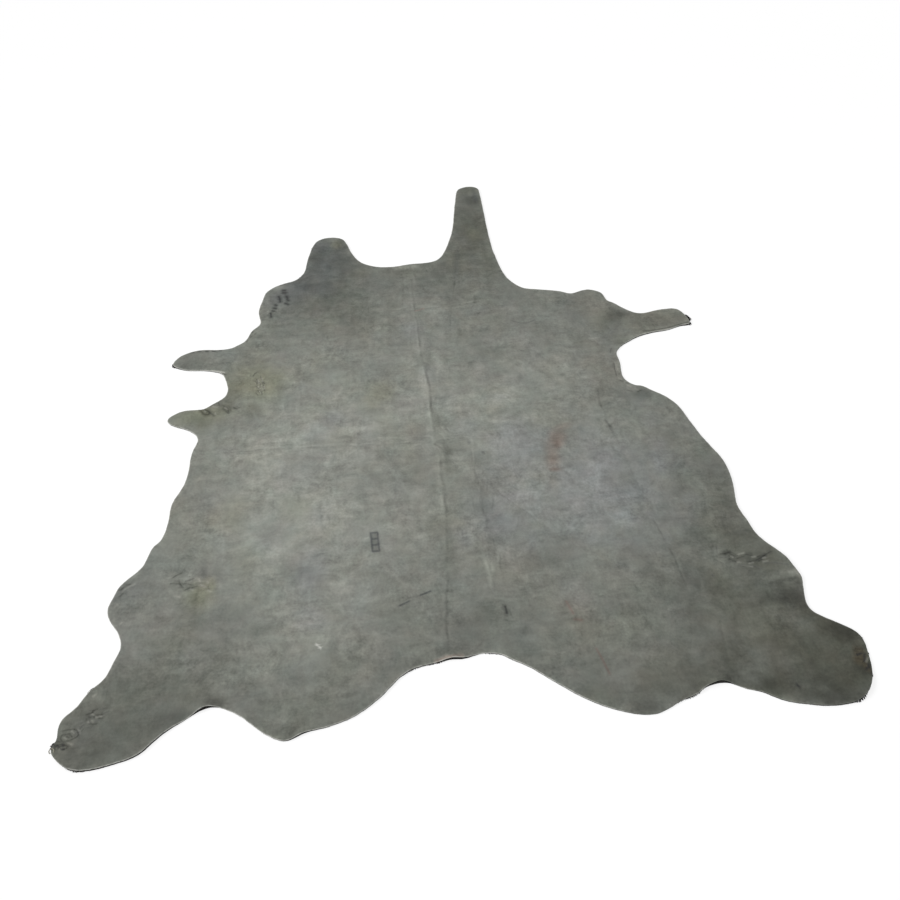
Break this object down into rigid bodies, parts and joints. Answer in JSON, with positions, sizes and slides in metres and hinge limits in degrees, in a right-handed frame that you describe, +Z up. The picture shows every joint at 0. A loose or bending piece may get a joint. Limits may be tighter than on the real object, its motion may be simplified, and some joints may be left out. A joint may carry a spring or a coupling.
{
  "type": "cowhide rug",
  "caption": "Whole tanned cowhide laid flat as a floor rug, hair side down, with its grey suede flesh side showing and the natural outline of legs, neck and cheeks.",
  "frame": {"origin": "on the floor under the middle of the rug's bounding box", "axes": "+Z up out of the flesh side, +Y along the backbone towards the neck, +X to the right as seen from above looking to the neck"},
  "size_m": [2.182, 2.407, 0.0183],
  "materials": {
    "leather": "matt grey-green suede, the flesh side of a chrome-tanned hide, mottled, with flay cuts and creases",
    "hair": "short dark brown-black hair, lying flat, slightly glossy"
  },
  "bodies": {
    "root": {"hide": "leather"}
  },
  "joints": []
}
